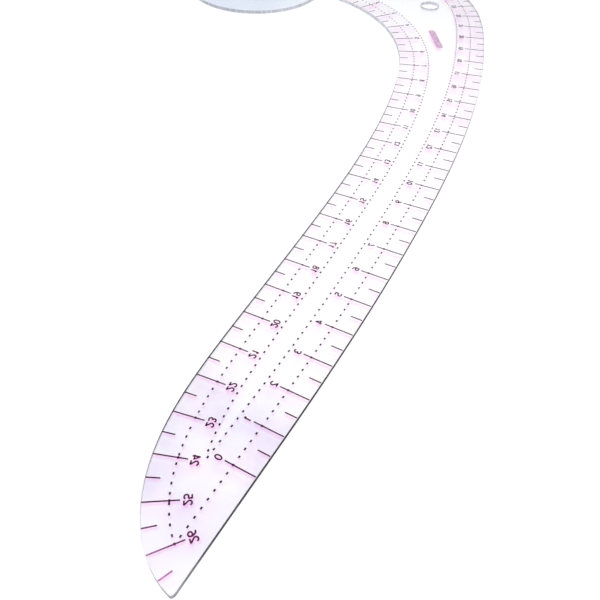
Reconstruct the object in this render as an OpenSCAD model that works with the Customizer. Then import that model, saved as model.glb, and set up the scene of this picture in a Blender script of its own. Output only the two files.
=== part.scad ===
// French curve: a flat clear drafting sheet for hip and armhole lines.
// Each long edge carries a scale that follows it, and two dotted seam lines inside it.
// The printed back face is up, so the numerals read mirrored from above.
// The sheet lies in XY with its underside on Z = 0. The origin is the hang hole's centre.

/* [Sheet] */
// Length of one numbered division, which sets the size of the whole curve
division = 10; // [10:0.5:14]
// Thickness of the clear sheet
sheet_t = 1.2; // [0.8:0.1:3]
// Diameter of the hang hole
hole_d = 7.2; // [4:0.2:9]

/* [Scales] */
// Highest number printed on the outer scale
outer_last = 30; // [22:1:30]
// Highest number printed on the inner scale
inner_last = 26; // [22:1:26]
// Length of a numbered tick
long_tick = 6.9; // [5.6:0.1:7]
// Length of a half-division tick
short_tick = 2.85; // [2:0.05:4.4]
// Width of the ticks
tick_w = 0.28; // [0.15:0.01:0.4]
// Height of the numerals
numeral_h = 1.6; // [1.2:0.1:1.7]

/* [Seam lines] */
// Distance between two dots of a seam line
dot_pitch = 2; // [1.5:0.1:3]
// Length of one dot along its line
dot_l = 0.55; // [0.3:0.05:0.6]
// Width of one dot
dot_w = 0.35; // [0.2:0.05:0.4]

/* [Badge] */
// Length of the blank badge
badge_l = 15; // [8:1:18]
// Width of the blank badge
badge_w = 2.4; // [1.5:0.1:4]

/* [Hidden] */

// Places on the sheet are [x, y] in divisions from the outer scale's zero tick.
// Y runs up the arm to the head, and the straight outer edge lies along X = 0.

// Turn tables: [scale value, degrees turned per division], left turns positive.
outer_turns = [
    [0, 0], [2, 0.6], [8, 0.64], [12, 1.05], [16, 1.8],
    [19.5, 1.6], [21, 4.2], [22.5, 7.5], [24, 9.8], [28, 8.6],
];
inner_turns = [
    [0, 11.5], [2.5, 9.6], [4, 9.4], [6, 7.7], [9, 2.1], [13, 1.4], [17, 0.3],
    [20, 0], [22, -3], [23, -7], [24, -11], [25, -16.5], [26, -24], [27, -44],
];
station_step = 0.1;
outline_stride = 2;

// The outer edge runs up from the tip, and the inner edge runs down its scale to the notch.
outer_first_station = -2.4;
outer_end_station = 31;
inner_first_station = 26.8;
inner_end_station = 0.6;
tip_outer = [0, outer_first_station];
tip_inner = [-0.07, -2.49];
outer_start_course = 90;
inner_start_course = 170;

// The nose of the hook is a round end. Angles are measured at its centre.
nose_centre = [-12.43, 19.56];
nose_r = 2.675;
nose_from = 160;
nose_to = 358;
nose_step = 6;
tip_pieces = 6;
notch_pieces = 12;
head_pieces = 24;

// Sides on which the sheet lies, seen along each edge's course.
on_left = 1;
on_right = -1;

// Distances inside an edge, in divisions.
near_seam = 0.5;
far_seam = 1;
band_edge = 0.01;
band_depth = 1.04;
seams_meet_outer = 0.1;
seams_meet_inner = 23.8;
near_seam_outer_first = -1.6;
near_seam_inner_first = 25.8;
far_seam_outer_first = -0.1;
far_seam_inner_first = 23.7;
dot_clear_of_tick = 0.06;
numeral_foot = 0.75;
half_division = 0.5;
outer_first_tick = 0;
inner_first_tick = 1;

// Printing is built up in two coats: the tint, and the marks over it.
tint_t = 0.02;
ink_t = 0.05;
mark_z = sheet_t + tint_t;

hole_at = [-5.44, 21.53];
badge_at = [-4.07, 18.74];
badge_course = 125;

// Numerals: strokes on a cell one unit high.
stroke_w = 0.19;
cell_w = 0.6;
numeral_gap = 0.16;
arc_step = 30;
miter_limit = 1.6;
round_fn = 64;
bite = 0.5;

// One step along an edge. A station is [value, x, y, course].
function next_station(at, turns, way) =
    let (
        turn = lookup(at[0] + way * station_step / 2, turns) * station_step,
        course = at[3] + turn / 2
    )
    [
        at[0] + way * station_step,
        at[1] + station_step * cos(course),
        at[2] + station_step * sin(course),
        at[3] + turn,
    ];

// All the stations of an edge, from one scale value to another.
function walk(turns, first, last, start, course) =
    let (
        way = sign(last - first),
        count = round(abs(last - first) / station_step)
    )
    [
        for (
            i = 0, at = [first, start.x, start.y, course];
            i <= count;
            i = i + 1, at = next_station(at, turns, way)
        )
        at
    ];

outer_edge = walk(
    outer_turns, outer_first_station, outer_end_station, tip_outer, outer_start_course
);
inner_edge = walk(
    inner_turns, inner_first_station, inner_end_station, tip_inner, inner_start_course
);

// The station at any scale value, between the two nearest ones.
function station(edge, value) =
    let (
        exact = abs(value - edge[0][0]) / station_step,
        i = min(floor(exact), len(edge) - 2),
        part = exact - i
    )
    edge[i] * (1 - part) + edge[i + 1] * part;

// A place inside an edge, square to it.
function inside(at, side, inset) =
    [at[1], at[2]] + inset * [cos(at[3] + side * 90), sin(at[3] + side * 90)];

// The line that runs at one distance inside an edge.
function inner_line(edge, side, inset, from, to) =
    let (stride = station_step * outline_stride * sign(to - from))
    [for (value = [from:stride:to]) inside(station(edge, value), side, inset)];

function reversed(list) = [for (i = [len(list) - 1:-1:0]) list[i]];

function edge_points(edge) =
    [for (i = [0:outline_stride:len(edge) - 1]) [edge[i][1], edge[i][2]]];

// A smooth bend from one place and course to another, close to a circle's arc.
// Its two ends are left out.
function bend(p0, course0, p3, course3, pieces) =
    let (
        swing = (course3 - course0 + 540) % 360 - 180,
        handle = norm(p3 - p0) * 2 / 3 * tan(abs(swing) / 4) / sin(abs(swing) / 2),
        p1 = p0 + handle * [cos(course0), sin(course0)],
        p2 = p3 - handle * [cos(course3), sin(course3)]
    )
    [
        for (i = [1:pieces - 1])
            let (t = i / pieces, u = 1 - t)
            u * u * u * p0 + 3 * u * u * t * p1 + 3 * u * t * t * p2 + t * t * t * p3
    ];

function on_nose(angle) = nose_centre + nose_r * [cos(angle), sin(angle)];

function last_of(list) = list[len(list) - 1];

outer_end = last_of(outer_edge);
inner_end = last_of(inner_edge);
inner_start = inner_edge[0];

// The whole outline, anticlockwise from the tip.
sheet_outline = concat(
    edge_points(outer_edge),
    bend(
        [outer_end[1], outer_end[2]], outer_end[3],
        on_nose(nose_from), nose_from + 90, head_pieces
    ),
    [for (angle = [nose_from:nose_step:nose_to]) on_nose(angle)],
    bend(
        on_nose(nose_to), nose_to + 90,
        [inner_end[1], inner_end[2]], inner_end[3] + 180, notch_pieces
    ),
    reversed(edge_points(inner_edge)),
    bend(
        [inner_start[1], inner_start[2]], inner_start[3] + 180,
        tip_outer, outer_start_course, tip_pieces
    )
);

// The printed bands of both edges, joined at the tip.
band_outline = concat(
    inner_line(outer_edge, on_left, band_edge, outer_first_station, outer_last + near_seam),
    inner_line(outer_edge, on_left, band_depth, outer_last + near_seam, seams_meet_outer),
    inner_line(inner_edge, on_right, band_depth, seams_meet_inner, inner_end_station),
    inner_line(inner_edge, on_right, band_edge, inner_end_station, inner_first_station)
);

// Places of a seam line's dots, evenly spaced along the line itself.
function dot_values(turns, side, inset, from, to) =
    let (way = sign(to - from))
    [
        for (
            value = from;
            way * (to - value) >= 0;
            value = value + way * dot_pitch / division
                / (1 - side * inset * lookup(value, turns) * PI / 180)
        )
        value
    ];

// The same places without the ones that fall on a numbered tick, from the first tick on.
function off_ticks(values, first_tick) =
    [
        for (value = values)
            if (value < first_tick - half_division || abs(value - round(value)) > dot_clear_of_tick)
                value
    ];

// Moves children to scale values on an edge, with +Y square into the sheet.
module along(edge, side, values) {
    for (value = values) {
        $value = value;
        at = station(edge, value);
        translate([at[1], at[2]] * division)
            rotate(at[3] + (side - 1) * 90)
                children();
    }
}

// The part's own frame: the hang hole's centre on the underside.
module on_sheet(z) {
    translate(concat(-hole_at * division, z)) children();
}

module clear_sheet() {
    color("aliceblue", 0.4)
        on_sheet(0)
            difference() {
                linear_extrude(sheet_t) polygon(sheet_outline * division);
                translate(concat(hole_at * division, -bite))
                    cylinder(h = sheet_t + 2 * bite, d = hole_d, $fn = round_fn);
            }
}

module band_tint() {
    color("lavender", 0.5)
        on_sheet(sheet_t)
            linear_extrude(tint_t) polygon(band_outline * division);
}

// A numbered tick, with a short dash where the near seam line crosses it.
module long_tick() {
    half = tick_w / 2;
    foot = band_edge * division;
    seam = near_seam * division;
    dash_l = dot_l / 2;
    dash_w = dot_w / 2;
    linear_extrude(ink_t)
        polygon([
            [-half, foot], [half, foot],
            [half, seam - dash_w], [dash_l, seam - dash_w],
            [dash_l, seam + dash_w], [half, seam + dash_w],
            [half, long_tick], [-half, long_tick],
            [-half, seam + dash_w], [-dash_l, seam + dash_w],
            [-dash_l, seam - dash_w], [-half, seam - dash_w],
        ]);
}

module short_tick() {
    foot = band_edge * division;
    translate([-tick_w / 2, foot, 0]) cube([tick_w, short_tick - foot, ink_t]);
}

module dot(inset) {
    translate([-dot_l / 2, inset * division - dot_w / 2, 0]) cube([dot_l, dot_w, ink_t]);
}

// Points round an ellipse's arc.
function arc(centre, rx, ry, from, to) =
    let (pieces = ceil(abs(to - from) / arc_step))
    [
        for (i = [0:pieces])
            let (angle = from + (to - from) * i / pieces)
            centre + [rx * cos(angle), ry * sin(angle)]
    ];

function unit(v) = v / norm(v);

// The left-hand normal of a path at one of its points, lengthened at a corner.
function corner_normal(path, i) =
    let (
        before = unit(path[max(i, 1)] - path[max(i, 1) - 1]),
        next = min(i, len(path) - 2),
        after = unit(path[next + 1] - path[next]),
        middle = unit(before + after),
        stretch = min(miter_limit, 1 / (middle * after))
    )
    stretch * [-middle.y, middle.x];

// A stroke of even width along a path.
module stroke(path) {
    half = stroke_w / 2;
    sides = [for (i = [0:len(path) - 1]) half * corner_normal(path, i)];
    polygon(concat(
        [for (i = [0:len(path) - 1]) path[i] - sides[i]],
        [for (i = [len(path) - 1:-1:0]) path[i] + sides[i]]
    ));
}

// A closed ring of even width.
module ring(centre, rx, ry) {
    half = stroke_w / 2;
    rim = arc(centre, rx + half, ry + half, 0, 360 - arc_step);
    eye = arc(centre, rx - half, ry - half, 0, 360 - arc_step);
    count = len(rim);
    polygon(
        concat(rim, eye),
        [[for (i = [0:count - 1]) i], [for (i = [0:count - 1]) count + i]]
    );
}

module six() {
    ring([0.3, 0.28], 0.27, 0.25);
    stroke(arc([0.5, 0.3], 0.47, 0.64, 85, 180));
}

// One digit, on a cell of cell_w by 1, with its strokes centred on the cell's sides.
module digit(n) {
    if (n == 0) ring([0.3, 0.5], 0.27, 0.45);
    if (n == 1) {
        stroke([[0.36, 0.02], [0.36, 0.98]]);
        stroke([[0.36, 0.94], [0.14, 0.76]]);
    }
    if (n == 2) {
        stroke(concat(arc([0.3, 0.68], 0.27, 0.27, 165, -30), [[0.04, 0.05]]));
        stroke([[0, 0.05], [0.58, 0.05]]);
    }
    if (n == 3) {
        stroke(arc([0.28, 0.73], 0.24, 0.22, 150, -90));
        stroke(arc([0.28, 0.28], 0.28, 0.24, 90, -150));
    }
    if (n == 4) {
        stroke([[0.45, 0.02], [0.45, 0.98]]);
        stroke([[0.45, 0.94], [0.04, 0.3], [0.62, 0.3]]);
    }
    if (n == 5) {
        stroke([[0.55, 0.94], [0.12, 0.94], [0.08, 0.52]]);
        stroke(arc([0.28, 0.3], 0.28, 0.26, 125, -150));
    }
    if (n == 6) six();
    if (n == 7) stroke([[0.02, 0.94], [0.55, 0.94], [0.22, 0.02]]);
    if (n == 8) {
        ring([0.3, 0.74], 0.22, 0.2);
        ring([0.3, 0.28], 0.27, 0.24);
    }
    if (n == 9) translate([cell_w, 1]) rotate(180) six();
}

// A whole number, centred on its tick, mirrored because it is read from the other face.
module numeral(value) {
    tens = floor(value / 10);
    pitch = cell_w + numeral_gap;
    line_w = tens > 0 ? cell_w + pitch : cell_w;
    translate([0, numeral_foot * division, 0])
        mirror([1, 0, 0])
            linear_extrude(ink_t)
                scale(numeral_h)
                    translate([-line_w / 2, 0]) {
                        if (tens > 0) digit(tens);
                        translate([tens > 0 ? pitch : 0, 0]) digit(value % 10);
                    }
}

module outer_long_ticks() {
    color("mediumvioletred")
        on_sheet(mark_z) along(outer_edge, on_left, [outer_first_tick:outer_last]) long_tick();
}

module outer_short_ticks() {
    color("mediumvioletred")
        on_sheet(mark_z)
            along(outer_edge, on_left, [outer_first_tick + half_division:outer_last])
                short_tick();
}

module outer_numerals() {
    color("mediumvioletred")
        on_sheet(mark_z) along(outer_edge, on_left, [outer_first_tick:outer_last]) numeral($value);
}

// The near seam line crosses the numbered ticks, and the far one runs past their numerals.
module outer_near_seam() {
    places = dot_values(outer_turns, on_left, near_seam, near_seam_outer_first, outer_last);
    color("indigo")
        on_sheet(mark_z)
            along(outer_edge, on_left, off_ticks(places, outer_first_tick)) dot(near_seam);
}

module outer_far_seam() {
    places = dot_values(outer_turns, on_left, far_seam, far_seam_outer_first, outer_last);
    color("indigo")
        on_sheet(mark_z) along(outer_edge, on_left, places) dot(far_seam);
}

module inner_long_ticks() {
    color("mediumvioletred")
        on_sheet(mark_z) along(inner_edge, on_right, [inner_first_tick:inner_last]) long_tick();
}

module inner_short_ticks() {
    color("mediumvioletred")
        on_sheet(mark_z)
            along(
                inner_edge, on_right,
                [inner_first_tick + half_division:inner_last + half_division]
            )
                short_tick();
}

module inner_numerals() {
    color("mediumvioletred")
        on_sheet(mark_z) along(inner_edge, on_right, [inner_first_tick:inner_last]) numeral($value);
}

module inner_near_seam() {
    places = dot_values(
        inner_turns, on_right, near_seam, near_seam_inner_first, inner_first_tick
    );
    color("indigo")
        on_sheet(mark_z)
            along(inner_edge, on_right, off_ticks(places, inner_first_tick)) dot(near_seam);
}

module inner_far_seam() {
    places = dot_values(inner_turns, on_right, far_seam, far_seam_inner_first, inner_first_tick);
    color("indigo")
        on_sheet(mark_z) along(inner_edge, on_right, places) dot(far_seam);
}

// The badge is a plain pill in the clear channel, with nothing printed in it.
module blank_badge() {
    end_r = badge_w / 2;
    reach = badge_l / 2 - end_r;
    color("plum")
        on_sheet(sheet_t)
            translate(badge_at * division)
                rotate(badge_course)
                    linear_extrude(ink_t)
                        polygon(concat(
                            arc([reach, 0], end_r, end_r, -90, 90),
                            arc([-reach, 0], end_r, end_r, 90, 270)
                        ));
}

clear_sheet();
band_tint();
outer_long_ticks();
outer_short_ticks();
outer_numerals();
outer_near_seam();
outer_far_seam();
inner_long_ticks();
inner_short_ticks();
inner_numerals();
inner_near_seam();
inner_far_seam();
blank_badge();
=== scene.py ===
"""French curve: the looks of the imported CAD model, on a white sweep under soft studio light."""
import math

import bpy
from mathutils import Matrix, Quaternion, Vector

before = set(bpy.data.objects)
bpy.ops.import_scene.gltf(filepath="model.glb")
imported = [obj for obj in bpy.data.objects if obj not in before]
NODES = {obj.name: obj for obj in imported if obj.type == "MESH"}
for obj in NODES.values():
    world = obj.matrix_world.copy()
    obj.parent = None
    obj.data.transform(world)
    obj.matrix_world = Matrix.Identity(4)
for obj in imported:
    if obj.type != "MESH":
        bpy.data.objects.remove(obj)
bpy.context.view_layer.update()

MM = 0.001
SCALES = ("outer", "inner")
WHITE = (1, 1, 1)

# The camera, in millimetres from the hang hole's centre on the sheet's underside.
CAMERA_PLACE = (92.0, -269.65, 112.82)
CAMERA_TARGET = (38.57, -171.79, 1.2)
CAMERA_ROLL = 1.73
CAMERA_NEAR = 5 * MM
LENS = 41.52
SENSOR = 36

# The floor lies just under the sheet, which never touches it all over.
FLOOR_GAP = 0.15 * MM
FLOOR_SIZE = 6

# Coats lie this much clear of what they are printed on, so that no two faces share a plane.
COAT_GAP = 0.005 * MM
WELD_GAP = 0.001 * MM
EDGE_RADIUS = 0.07 * MM
EDGE_ANGLE = 60
EDGE_SEGMENTS = 2

# Colours by place along the arm: each stop is a Y in millimetres and a colour.
ARM_START = -242
ARM_END = 32

# Light that the tint coat lets through. It is partly the coat's own tint and partly a painted
# reflection: the coat is nearly clear mid-arm, and deeper at the tip and round the head.
TINT_AND_REFLECTION_STOPS = (
    (-236, (0.992, 0.988, 0.993)), (-226, (0.984, 0.968, 0.986)), (-208, (0.981, 0.965, 0.983)),
    (-194, (0.998, 0.996, 0.998)), (-110, (0.997, 0.992, 0.996)), (-60, (0.989, 0.972, 0.988)),
    (-25, (0.985, 0.969, 0.990)), (20, (0.984, 0.973, 0.986)),
)

# Painted shade on the clear sheet: a faint violet, strongest near the tip where the print is
# dense.
SHEET_PAINTED_SHADE_STOPS = (
    (-239, (0.998, 0.997, 0.998)), (-230, (0.982, 0.981, 0.996)), (-206, (0.980, 0.979, 0.996)),
    (-192, (0.998, 0.998, 0.999)), (-40, (0.998, 0.999, 0.999)), (-15, (0.995, 0.997, 0.999)),
)

# Painted shade and painted light on the cut wall, in place of what the clear wall bends and
# mirrors: dark along the arm, and paler at the tip and round the head.
WALL_PAINTED_LIGHT_STOPS = (
    (-240, (0.42, 0.42, 0.46)), (-236, (0.26, 0.25, 0.28)), (-231, (0.07, 0.065, 0.075)),
    (-220, (0.015, 0.012, 0.017)), (-120, (0.010, 0.008, 0.012)), (-80, (0.11, 0.11, 0.125)),
    (-35, (0.66, 0.68, 0.73)),
)

# How much of the wall's upper part shows through the sheet from inside, least near the tip.
SHOWN_STOPS = ((-240, 0.9), (-237, 0.6), (-235.5, 0.12), (-234, 0.12), (-214, 1))

# How far a cloud thins and thickens a tint, and the cloud's values between which it does so.
CLOUD_THICKNESS = (0.3, 1.8)
CLOUD_BAND = (0.35, 0.65)

# Painted reflection: the nose of the hook is painted bluer than the arm, across X in millimetres.
NOSE_START = -55
NOSE_END = -38
NOSE_PAINTED_REFLECTION = (0.935, 0.952, 0.982)

# Clear plastic. A noise is its cells per metre, its detail and, where its grain runs long,
# a stretch that is small in that direction. A relief is its depth and its strength.
PLASTIC_IOR = 1.49
HAIR_NOISE = (900, 2, (1, 0.04, 1))
HAIR_ROUGHNESS = (0.03, 0.12)
HAIR_BAND = (0.55, 0.75)
HAIR_RELIEF = (0.002 * MM, 0.3)
SHEET_SHADE_CLOUD_NOISE = (90, 5)

# The cut wall: its saw marks, and the light that passes between them.
FLAT_FROM = 0.9
UPRIGHT_TO = 0.3
SAW_NOISE = (1500, 3, (1, 1, 0.15))
SAW_GRAIN = ((0.35, (0.84, 0.84, 0.84)), (0.65, (1.16, 1.16, 1.16)))
SAW_ROUGHNESS = (0.35, 0.6)
SAW_RELIEF = (0.02 * MM, 0.5)
WALL_GLOW = ((0.3, (0.86, 0.86, 0.9)), (0.7, (0.95, 0.95, 0.98)))
WALL_SPECULAR = 0.06
WALL_OUTSIDE = 0.97
WALL_INSIDE = (0.05, 0.94)
WALL_SPLIT = (0.42 * MM, 0.56 * MM)
WALL_SHADE = 0.35

# The tint coat.
CLOUD_NOISE = (110, 5)
TINT_ROUGHNESS = (0.15, 0.3)
TINT_RELIEF = (0.01 * MM, 0.3)
TINT_GLOSS = 0.008

# Ink: its colour, the least and most that it covers, the tint of what shows where it is worn,
# the tint of the light that comes out below it, and its grain.
MAGENTA = dict(body=(0.068, 0.01, 0.044), cover=(0.95, 1.0), worn=(0.9, 0.6, 0.86),
               cast=(1.0, 0.04, 0.85), grain=(2500, 5))
SEAM = dict(body=(0.03, 0.004, 0.026), cover=(0.95, 1.0), worn=(0.9, 0.6, 0.86),
            cast=(0.9, 0.4, 0.8), grain=(2500, 5))
BADGE = dict(body=(0.58, 0.42, 0.55), cover=(0.5, 0.6), worn=(0.95, 0.82, 0.93),
             cast=(0.95, 0.8, 0.92), grain=(900, 5))
INK_BAND = (0.3, 0.7)
INK_SHADES = (0.7, 1.25)
INK_ROUGHNESS = (0.4, 0.6)
INK_SPECULAR = 0.05
INK_RELIEF = (0.01 * MM, 0.4)

# Towards the tip the print is worn thin, down to this share of its cover.
WORN_SHARE = 0.12
WORN_FROM = -238.5 * MM
WORN_TO = -228 * MM

# The paper sweep.
PAPER_NOISE = (700, 3)
PAPER_TOOTH = ((0.3, (0.93, 0.93, 0.93)), (0.7, (0.95, 0.95, 0.95)))
PAPER_ROUGHNESS = 0.9
PAPER_RELIEF = (0.02 * MM, 0.2)

# The studio, in metres and watts: each softbox's place, target, size and power.
SKY_STRENGTH = 0.4
SKY_HEIGHT = (
    (0.0, (0.30, 0.31, 0.36)), (0.34, (0.50, 0.56, 0.68)), (0.44, (3.4, 3.4, 3.4)),
    (0.6, (3.4, 3.4, 3.4)), (0.76, (0.75, 0.75, 0.76)),
)
SKY_SIDE = ((0.3, WHITE), (0.8, (0.35, 0.35, 0.38)))
BACKDROP = (0.9, 0.9, 0.91)
SOFTBOXES = {
    "key softbox": ((0.16, -0.38, 0.88), (0.03, -0.16, 0), (0.45, 0.45), 5.2),
    "fill softbox": ((-0.05, 0.45, 0.6), (0, 0.03, 0), (0.6, 0.6), 2.4),
}


# ---------------------------------------------------------------- node helpers

def node_adder(tree):
    """A function that adds a node of a kind to the tree, with its settings."""
    def add(kind, **settings):
        node = tree.nodes.new(kind)
        for key, value in settings.items():
            setattr(node, key, value)
        return node

    return add


def new_material(name):
    """An empty node material, with its tree, its output and a function that adds nodes."""
    material = bpy.data.materials.new(name)
    material.use_nodes = True
    tree = material.node_tree
    tree.nodes.clear()
    output = tree.nodes.new("ShaderNodeOutputMaterial")
    return material, tree, output, node_adder(tree)


def link(tree, source, target):
    tree.links.new(source, target)


def noise(tree, add, scale, detail, stretch=(1, 1, 1)):
    """Noise in object space, optionally stretched."""
    coordinates = add("ShaderNodeTexCoord")
    mapping = add("ShaderNodeMapping")
    mapping.inputs["Scale"].default_value = stretch
    texture = add("ShaderNodeTexNoise")
    texture.inputs["Scale"].default_value = scale
    texture.inputs["Detail"].default_value = detail
    link(tree, coordinates.outputs["Object"], mapping.inputs["Vector"])
    link(tree, mapping.outputs["Vector"], texture.inputs["Vector"])
    return texture.outputs["Fac"]


def ranged(tree, add, value, low, high, start=0.0, end=1.0):
    """Value, mapped from start..end to low..high."""
    node = add("ShaderNodeMapRange")
    node.inputs["From Min"].default_value = start
    node.inputs["From Max"].default_value = end
    node.inputs["To Min"].default_value = low
    node.inputs["To Max"].default_value = high
    link(tree, value, node.inputs["Value"])
    return node.outputs["Result"]


def ramp(tree, add, value, stops):
    """A colour ramp through (place, colour) stops."""
    node = add("ShaderNodeValToRGB")
    elements = node.color_ramp.elements
    while len(elements) > 1:
        elements.remove(elements[-1])
    elements[0].position, elements[0].color = stops[0][0], (*stops[0][1], 1)
    for place, colour in stops[1:]:
        elements.new(place).color = (*colour, 1)
    link(tree, value, node.inputs["Fac"])
    return node.outputs["Color"]


def object_place(tree, add):
    """The X, Y and Z of a point of the piece, in metres."""
    coordinates = add("ShaderNodeTexCoord")
    place = add("ShaderNodeSeparateXYZ")
    link(tree, coordinates.outputs["Object"], place.inputs["Vector"])
    return place.outputs


def along_arm(tree, add, stops, cloud=None):
    """A colour by place along the arm, stronger and weaker where a cloud says so."""
    share = ranged(tree, add, object_place(tree, add)["Y"], 0, 1, ARM_START * MM, ARM_END * MM)
    span = ARM_END - ARM_START
    colour = ramp(tree, add, share, [((y - ARM_START) / span, tone) for y, tone in stops])
    if cloud is None:
        return colour
    thickness = add("ShaderNodeGamma")
    link(tree, colour, thickness.inputs["Color"])
    link(tree, ranged(tree, add, cloud, *CLOUD_THICKNESS, *CLOUD_BAND), thickness.inputs["Gamma"])
    return thickness.outputs["Color"]


def multiplied(tree, add, first, second):
    """Two colours multiplied."""
    node = add("ShaderNodeMix", data_type="RGBA", blend_type="MULTIPLY")
    node.inputs["Factor"].default_value = 1
    # A Mix node has sockets of one name for each data type, and these are the colours'.
    link(tree, first, node.inputs[6])
    link(tree, second, node.inputs[7])
    return node.outputs[2]


def combined(tree, add, operation, first, second):
    """Two values, combined by a Math node's operation."""
    node = add("ShaderNodeMath", operation=operation)
    link(tree, first, node.inputs[0])
    link(tree, second, node.inputs[1])
    return node.outputs["Value"]


def mixed(tree, add, share, first, second):
    """The first shader turning into the second as share goes from 0 to 1."""
    node = add("ShaderNodeMixShader")
    link(tree, share, node.inputs["Fac"])
    link(tree, first, node.inputs[1])
    link(tree, second, node.inputs[2])
    return node.outputs["Shader"]


def bump(tree, add, height, distance, strength):
    """A normal that follows a height, for relief of this depth."""
    node = add("ShaderNodeBump")
    node.inputs["Distance"].default_value = distance
    node.inputs["Strength"].default_value = strength
    link(tree, height, node.inputs["Height"])
    return node.outputs["Normal"]


def lighting_ray(tree, add):
    """1 for the rays that carry light to other surfaces, and 0 for what the camera sees."""
    rays = add("ShaderNodeLightPath")
    return combined(tree, add, "MAXIMUM",
                    rays.outputs["Is Shadow Ray"], rays.outputs["Is Diffuse Ray"])


def see_through(add, colour):
    """A clear shader of one colour."""
    node = add("ShaderNodeBsdfTransparent")
    node.inputs["Color"].default_value = (*colour, 1)
    return node.outputs["BSDF"]


# ---------------------------------------------------------------- materials

def upright_share(tree, add):
    """1 on the sheet's cut walls and 0 on its flat faces, whichever way they are turned."""
    geometry = add("ShaderNodeNewGeometry")
    split = add("ShaderNodeSeparateXYZ")
    link(tree, geometry.outputs["True Normal"], split.inputs["Vector"])
    level = add("ShaderNodeMath", operation="ABSOLUTE")
    link(tree, split.outputs["Z"], level.inputs[0])
    return ranged(tree, add, level.outputs["Value"], 1, 0, UPRIGHT_TO, FLAT_FROM)


def polished_face(tree, add, place, outside):
    """Clear, with hairline scratches in its gloss, a faint violet painted shade towards the tip
    and a painted blue reflection on the hook's nose.
    """
    hair = noise(tree, add, *HAIR_NOISE)
    shade_cloud = noise(tree, add, *SHEET_SHADE_CLOUD_NOISE)
    across = ranged(tree, add, place["X"], 0, 1, NOSE_START * MM, NOSE_END * MM)
    nose = ramp(tree, add, across, [(0, NOSE_PAINTED_REFLECTION), (1, WHITE)])
    clear = add("ShaderNodeBsdfTransparent")
    # The see-through colour carries the painted violet shade towards the tip and the painted blue
    # reflection on the nose.
    link(tree, multiplied(tree, add, along_arm(tree, add, SHEET_PAINTED_SHADE_STOPS, shade_cloud), nose),
         clear.inputs["Color"])
    gloss = add("ShaderNodeBsdfGlossy")
    link(tree, ranged(tree, add, hair, *HAIR_ROUGHNESS, *HAIR_BAND), gloss.inputs["Roughness"])
    link(tree, bump(tree, add, hair, *HAIR_RELIEF), gloss.inputs["Normal"])
    # Only the outer side of a face mirrors, because the rays inside aren't bent.
    fresnel = add("ShaderNodeFresnel")
    fresnel.inputs["IOR"].default_value = PLASTIC_IOR
    mirror = combined(tree, add, "MULTIPLY", fresnel.outputs["Fac"], outside)
    return mixed(tree, add, mirror, clear.outputs["BSDF"], gloss.outputs["BSDF"])


def cut_wall(tree, add, place, outside):
    """Dull and saw-marked from outside, with most light let through from inside the sheet."""
    saw = noise(tree, add, *SAW_NOISE)
    cut = add("ShaderNodeBsdfPrincipled")
    grain = ramp(tree, add, saw, SAW_GRAIN)
    # The wall's base colour is painted shade and painted light along the arm, times the saw
    # grain.
    link(tree, multiplied(tree, add, along_arm(tree, add, WALL_PAINTED_LIGHT_STOPS), grain),
         cut.inputs["Base Color"])
    link(tree, ranged(tree, add, saw, *SAW_ROUGHNESS), cut.inputs["Roughness"])
    link(tree, bump(tree, add, saw, *SAW_RELIEF), cut.inputs["Normal"])
    cut.inputs["Specular IOR Level"].default_value = WALL_SPECULAR
    glow = add("ShaderNodeBsdfTransparent")
    link(tree, ramp(tree, add, saw, WALL_GLOW), glow.inputs["Color"])
    # From inside, bending light hides the lower part of a wall, and nearly all of it at the tip.
    upper = ranged(tree, add, place["Z"], *WALL_INSIDE, *WALL_SPLIT)
    shown = along_arm(tree, add, [(y, (k, k, k)) for y, k in SHOWN_STOPS])
    cover = combined(tree, add, "MAXIMUM", combined(tree, add, "MULTIPLY", upper, shown),
                     ranged(tree, add, outside, 0, WALL_OUTSIDE))
    # Bent light also fills most of the shadow that the wall would throw.
    shade = ranged(tree, add, lighting_ray(tree, add), 1, WALL_SHADE)
    return mixed(tree, add, combined(tree, add, "MULTIPLY", cover, shade),
                 glow.outputs["BSDF"], cut.outputs["BSDF"])


def clear_plastic():
    """Polished clear plastic, with a rough die-cut wall whose grey is painted shade and painted
    light.
    """
    material, tree, output, add = new_material("clear_plastic")
    place = object_place(tree, add)
    sides = add("ShaderNodeNewGeometry")
    outside = ranged(tree, add, sides.outputs["Backfacing"], 1, 0)
    face = polished_face(tree, add, place, outside)
    wall = cut_wall(tree, add, place, outside)
    link(tree, mixed(tree, add, upright_share(tree, add), face, wall), output.inputs["Surface"])
    return material


def tint_coat():
    """A faint, cloudy coat that only colours the light through it."""
    material, tree, output, add = new_material("tint_coat")
    cloud = noise(tree, add, *CLOUD_NOISE)
    clear = add("ShaderNodeBsdfTransparent")
    # Its colour along the arm is partly tint and partly painted reflection, nearly clear mid-arm.
    link(tree, along_arm(tree, add, TINT_AND_REFLECTION_STOPS, cloud), clear.inputs["Color"])
    gloss = add("ShaderNodeBsdfGlossy")
    link(tree, ranged(tree, add, cloud, *TINT_ROUGHNESS), gloss.inputs["Roughness"])
    link(tree, bump(tree, add, cloud, *TINT_RELIEF), gloss.inputs["Normal"])
    mix = add("ShaderNodeMixShader")
    mix.inputs["Fac"].default_value = TINT_GLOSS
    link(tree, clear.outputs["BSDF"], mix.inputs[1])
    link(tree, gloss.outputs["BSDF"], mix.inputs[2])
    link(tree, mix.outputs["Shader"], output.inputs["Surface"])
    return material


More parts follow.
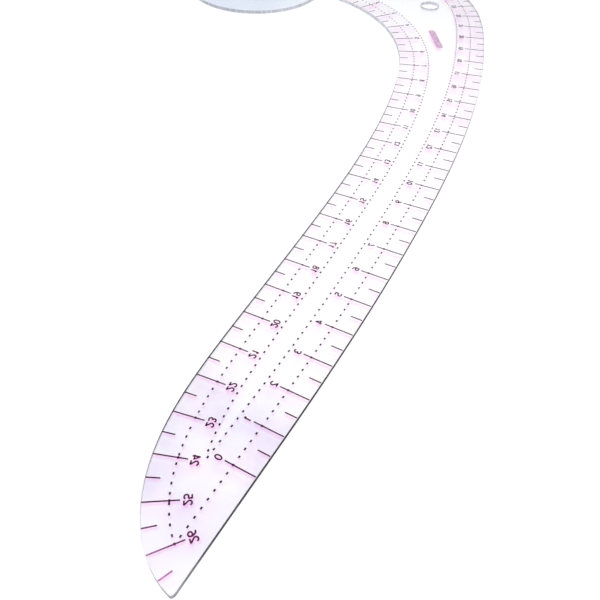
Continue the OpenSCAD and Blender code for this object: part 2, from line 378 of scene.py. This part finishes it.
def ink(name, body, cover, worn, cast, grain):
    """Screen-printed ink, which the camera sees as a coat and light passes as a tint."""
    material, tree, output, add = new_material(name)
    specks = noise(tree, add, *grain)
    coat = add("ShaderNodeBsdfPrincipled")
    tones = [tuple(channel * shade for channel in body) for shade in INK_SHADES]
    link(tree, ramp(tree, add, specks, list(zip(INK_BAND, tones))), coat.inputs["Base Color"])
    link(tree, ranged(tree, add, specks, *INK_ROUGHNESS), coat.inputs["Roughness"])
    coat.inputs["Specular IOR Level"].default_value = INK_SPECULAR
    link(tree, bump(tree, add, specks, *INK_RELIEF), coat.inputs["Normal"])
    even = ranged(tree, add, specks, *cover, *INK_BAND)
    left = ranged(tree, add, object_place(tree, add)["Y"], WORN_SHARE, 1, WORN_FROM, WORN_TO)
    seen = mixed(tree, add, combined(tree, add, "MULTIPLY", even, left),
                 see_through(add, worn), coat.outputs["BSDF"])
    link(tree, mixed(tree, add, lighting_ray(tree, add), seen, see_through(add, cast)),
         output.inputs["Surface"])
    return material


def white_sweep():
    """A matt white paper sweep with the faintest tooth."""
    material, tree, output, add = new_material("white_sweep")
    paper = add("ShaderNodeBsdfPrincipled")
    tooth = noise(tree, add, *PAPER_NOISE)
    link(tree, ramp(tree, add, tooth, PAPER_TOOTH), paper.inputs["Base Color"])
    paper.inputs["Roughness"].default_value = PAPER_ROUGHNESS
    link(tree, bump(tree, add, tooth, *PAPER_RELIEF), paper.inputs["Normal"])
    link(tree, paper.outputs["BSDF"], output.inputs["Surface"])
    return material


# ---------------------------------------------------------------- pieces

def finish_node(name, material):
    """Gives a CAD node its material."""
    piece = NODES[name]
    piece.data.materials.clear()
    piece.data.materials.append(material)
    return piece


def lift_clear(piece):
    """Draws a coat's faces in a hair, so that they don't share a plane with their neighbours."""
    modifier = piece.modifiers.new("clear of neighbours", "DISPLACE")
    modifier.direction = "NORMAL"
    modifier.mid_level = 0
    modifier.strength = -COAT_GAP


def dress_sheet():
    """Gives the sheet its plastic and slightly rounded edges."""
    sheet = finish_node("clear_sheet", clear_plastic())
    weld = sheet.modifiers.new("weld", "WELD")
    weld.merge_threshold = WELD_GAP
    edge = sheet.modifiers.new("soft edge", "BEVEL")
    edge.width = EDGE_RADIUS
    edge.segments = EDGE_SEGMENTS
    edge.limit_method = "ANGLE"
    edge.angle_limit = math.radians(EDGE_ANGLE)


def dress_coats():
    """Gives every printed coat its ink or tint."""
    tint = tint_coat()
    magenta = ink("magenta_ink", **MAGENTA)
    seam = ink("seam_ink", **SEAM)
    badge = ink("badge_ink", **BADGE)
    coats = {"band_tint": (tint, "tint_coat"), "blank_badge": (badge, "badge_ink")}
    for scale in SCALES:
        for mark in ("long_ticks", "short_ticks", "numerals"):
            coats[f"{scale}_{mark}"] = (magenta, "magenta_ink")
        for line in ("near_seam", "far_seam"):
            coats[f"{scale}_{line}"] = (seam, "seam_ink")
    for name, (material, slot) in coats.items():
        lift_clear(finish_node(name, material))

    # The tint is too faint to shade the floor, so lamps and the floor's own light pass it by.
    NODES["band_tint"].visible_shadow = False
    NODES["band_tint"].visible_diffuse = False


# ---------------------------------------------------------------- stage

def aimed(place, target):
    """The turn that points a camera or a lamp at its target."""
    return (Vector(target) - Vector(place)).to_track_quat("-Z", "Y")


def make_floor():
    half = FLOOR_SIZE / 2
    corners = [(-half, -half), (half, -half), (half, half), (-half, half)]
    mesh = bpy.data.meshes.new("sweep")
    mesh.from_pydata([(x, y, -FLOOR_GAP) for x, y in corners], [], [(0, 1, 2, 3)])
    mesh.materials.append(white_sweep())
    floor = bpy.data.objects.new("sweep", mesh)
    bpy.context.scene.collection.objects.link(floor)


def make_softbox(name, place, target, size, power):
    data = bpy.data.lights.new(name, "AREA")
    data.shape = "RECTANGLE"
    data.size, data.size_y = size
    data.energy = power
    lamp = bpy.data.objects.new(name, data)
    lamp.location = place
    lamp.rotation_mode = "QUATERNION"
    lamp.rotation_quaternion = aimed(place, target)
    lamp.visible_glossy = False
    bpy.context.scene.collection.objects.link(lamp)


def make_sky():
    """A white studio: bright overhead and to the left, darker low down and to the right."""
    world = bpy.data.worlds.new("studio")
    bpy.context.scene.world = world
    world.use_nodes = True
    tree = world.node_tree
    tree.nodes.clear()
    add = node_adder(tree)
    output = add("ShaderNodeOutputWorld")
    studio = add("ShaderNodeBackground")
    studio.inputs["Strength"].default_value = SKY_STRENGTH
    coordinates = add("ShaderNodeTexCoord")
    split = add("ShaderNodeSeparateXYZ")
    link(tree, coordinates.outputs["Generated"], split.inputs["Vector"])
    height = ramp(tree, add, split.outputs["Z"], SKY_HEIGHT)
    side = ramp(tree, add, ranged(tree, add, split.outputs["X"], 0, 1, -1, 1), SKY_SIDE)
    link(tree, multiplied(tree, add, height, side), studio.inputs["Color"])

    # Behind the floor the camera sees a plain pale wall, and the object still sees the studio.
    plain = add("ShaderNodeBackground")
    plain.inputs["Color"].default_value = (*BACKDROP, 1)
    rays = add("ShaderNodeLightPath")
    both = mixed(tree, add, rays.outputs["Is Camera Ray"],
                 studio.outputs["Background"], plain.outputs["Background"])
    link(tree, both, output.inputs["Surface"])


def make_camera():
    data = bpy.data.cameras.new("camera")
    data.lens = LENS
    data.sensor_width = SENSOR
    data.clip_start = CAMERA_NEAR
    camera = bpy.data.objects.new("camera", data)
    camera.location = Vector(CAMERA_PLACE) * MM
    camera.rotation_mode = "QUATERNION"
    roll = Quaternion((0, 0, 1), math.radians(CAMERA_ROLL))
    camera.rotation_quaternion = aimed(CAMERA_PLACE, CAMERA_TARGET) @ roll
    bpy.context.scene.collection.objects.link(camera)
    bpy.context.scene.camera = camera


dress_sheet()
dress_coats()
make_floor()
make_sky()
for softbox, settings in SOFTBOXES.items():
    make_softbox(softbox, *settings)
make_camera()
bpy.context.scene.view_settings.view_transform = "Standard"
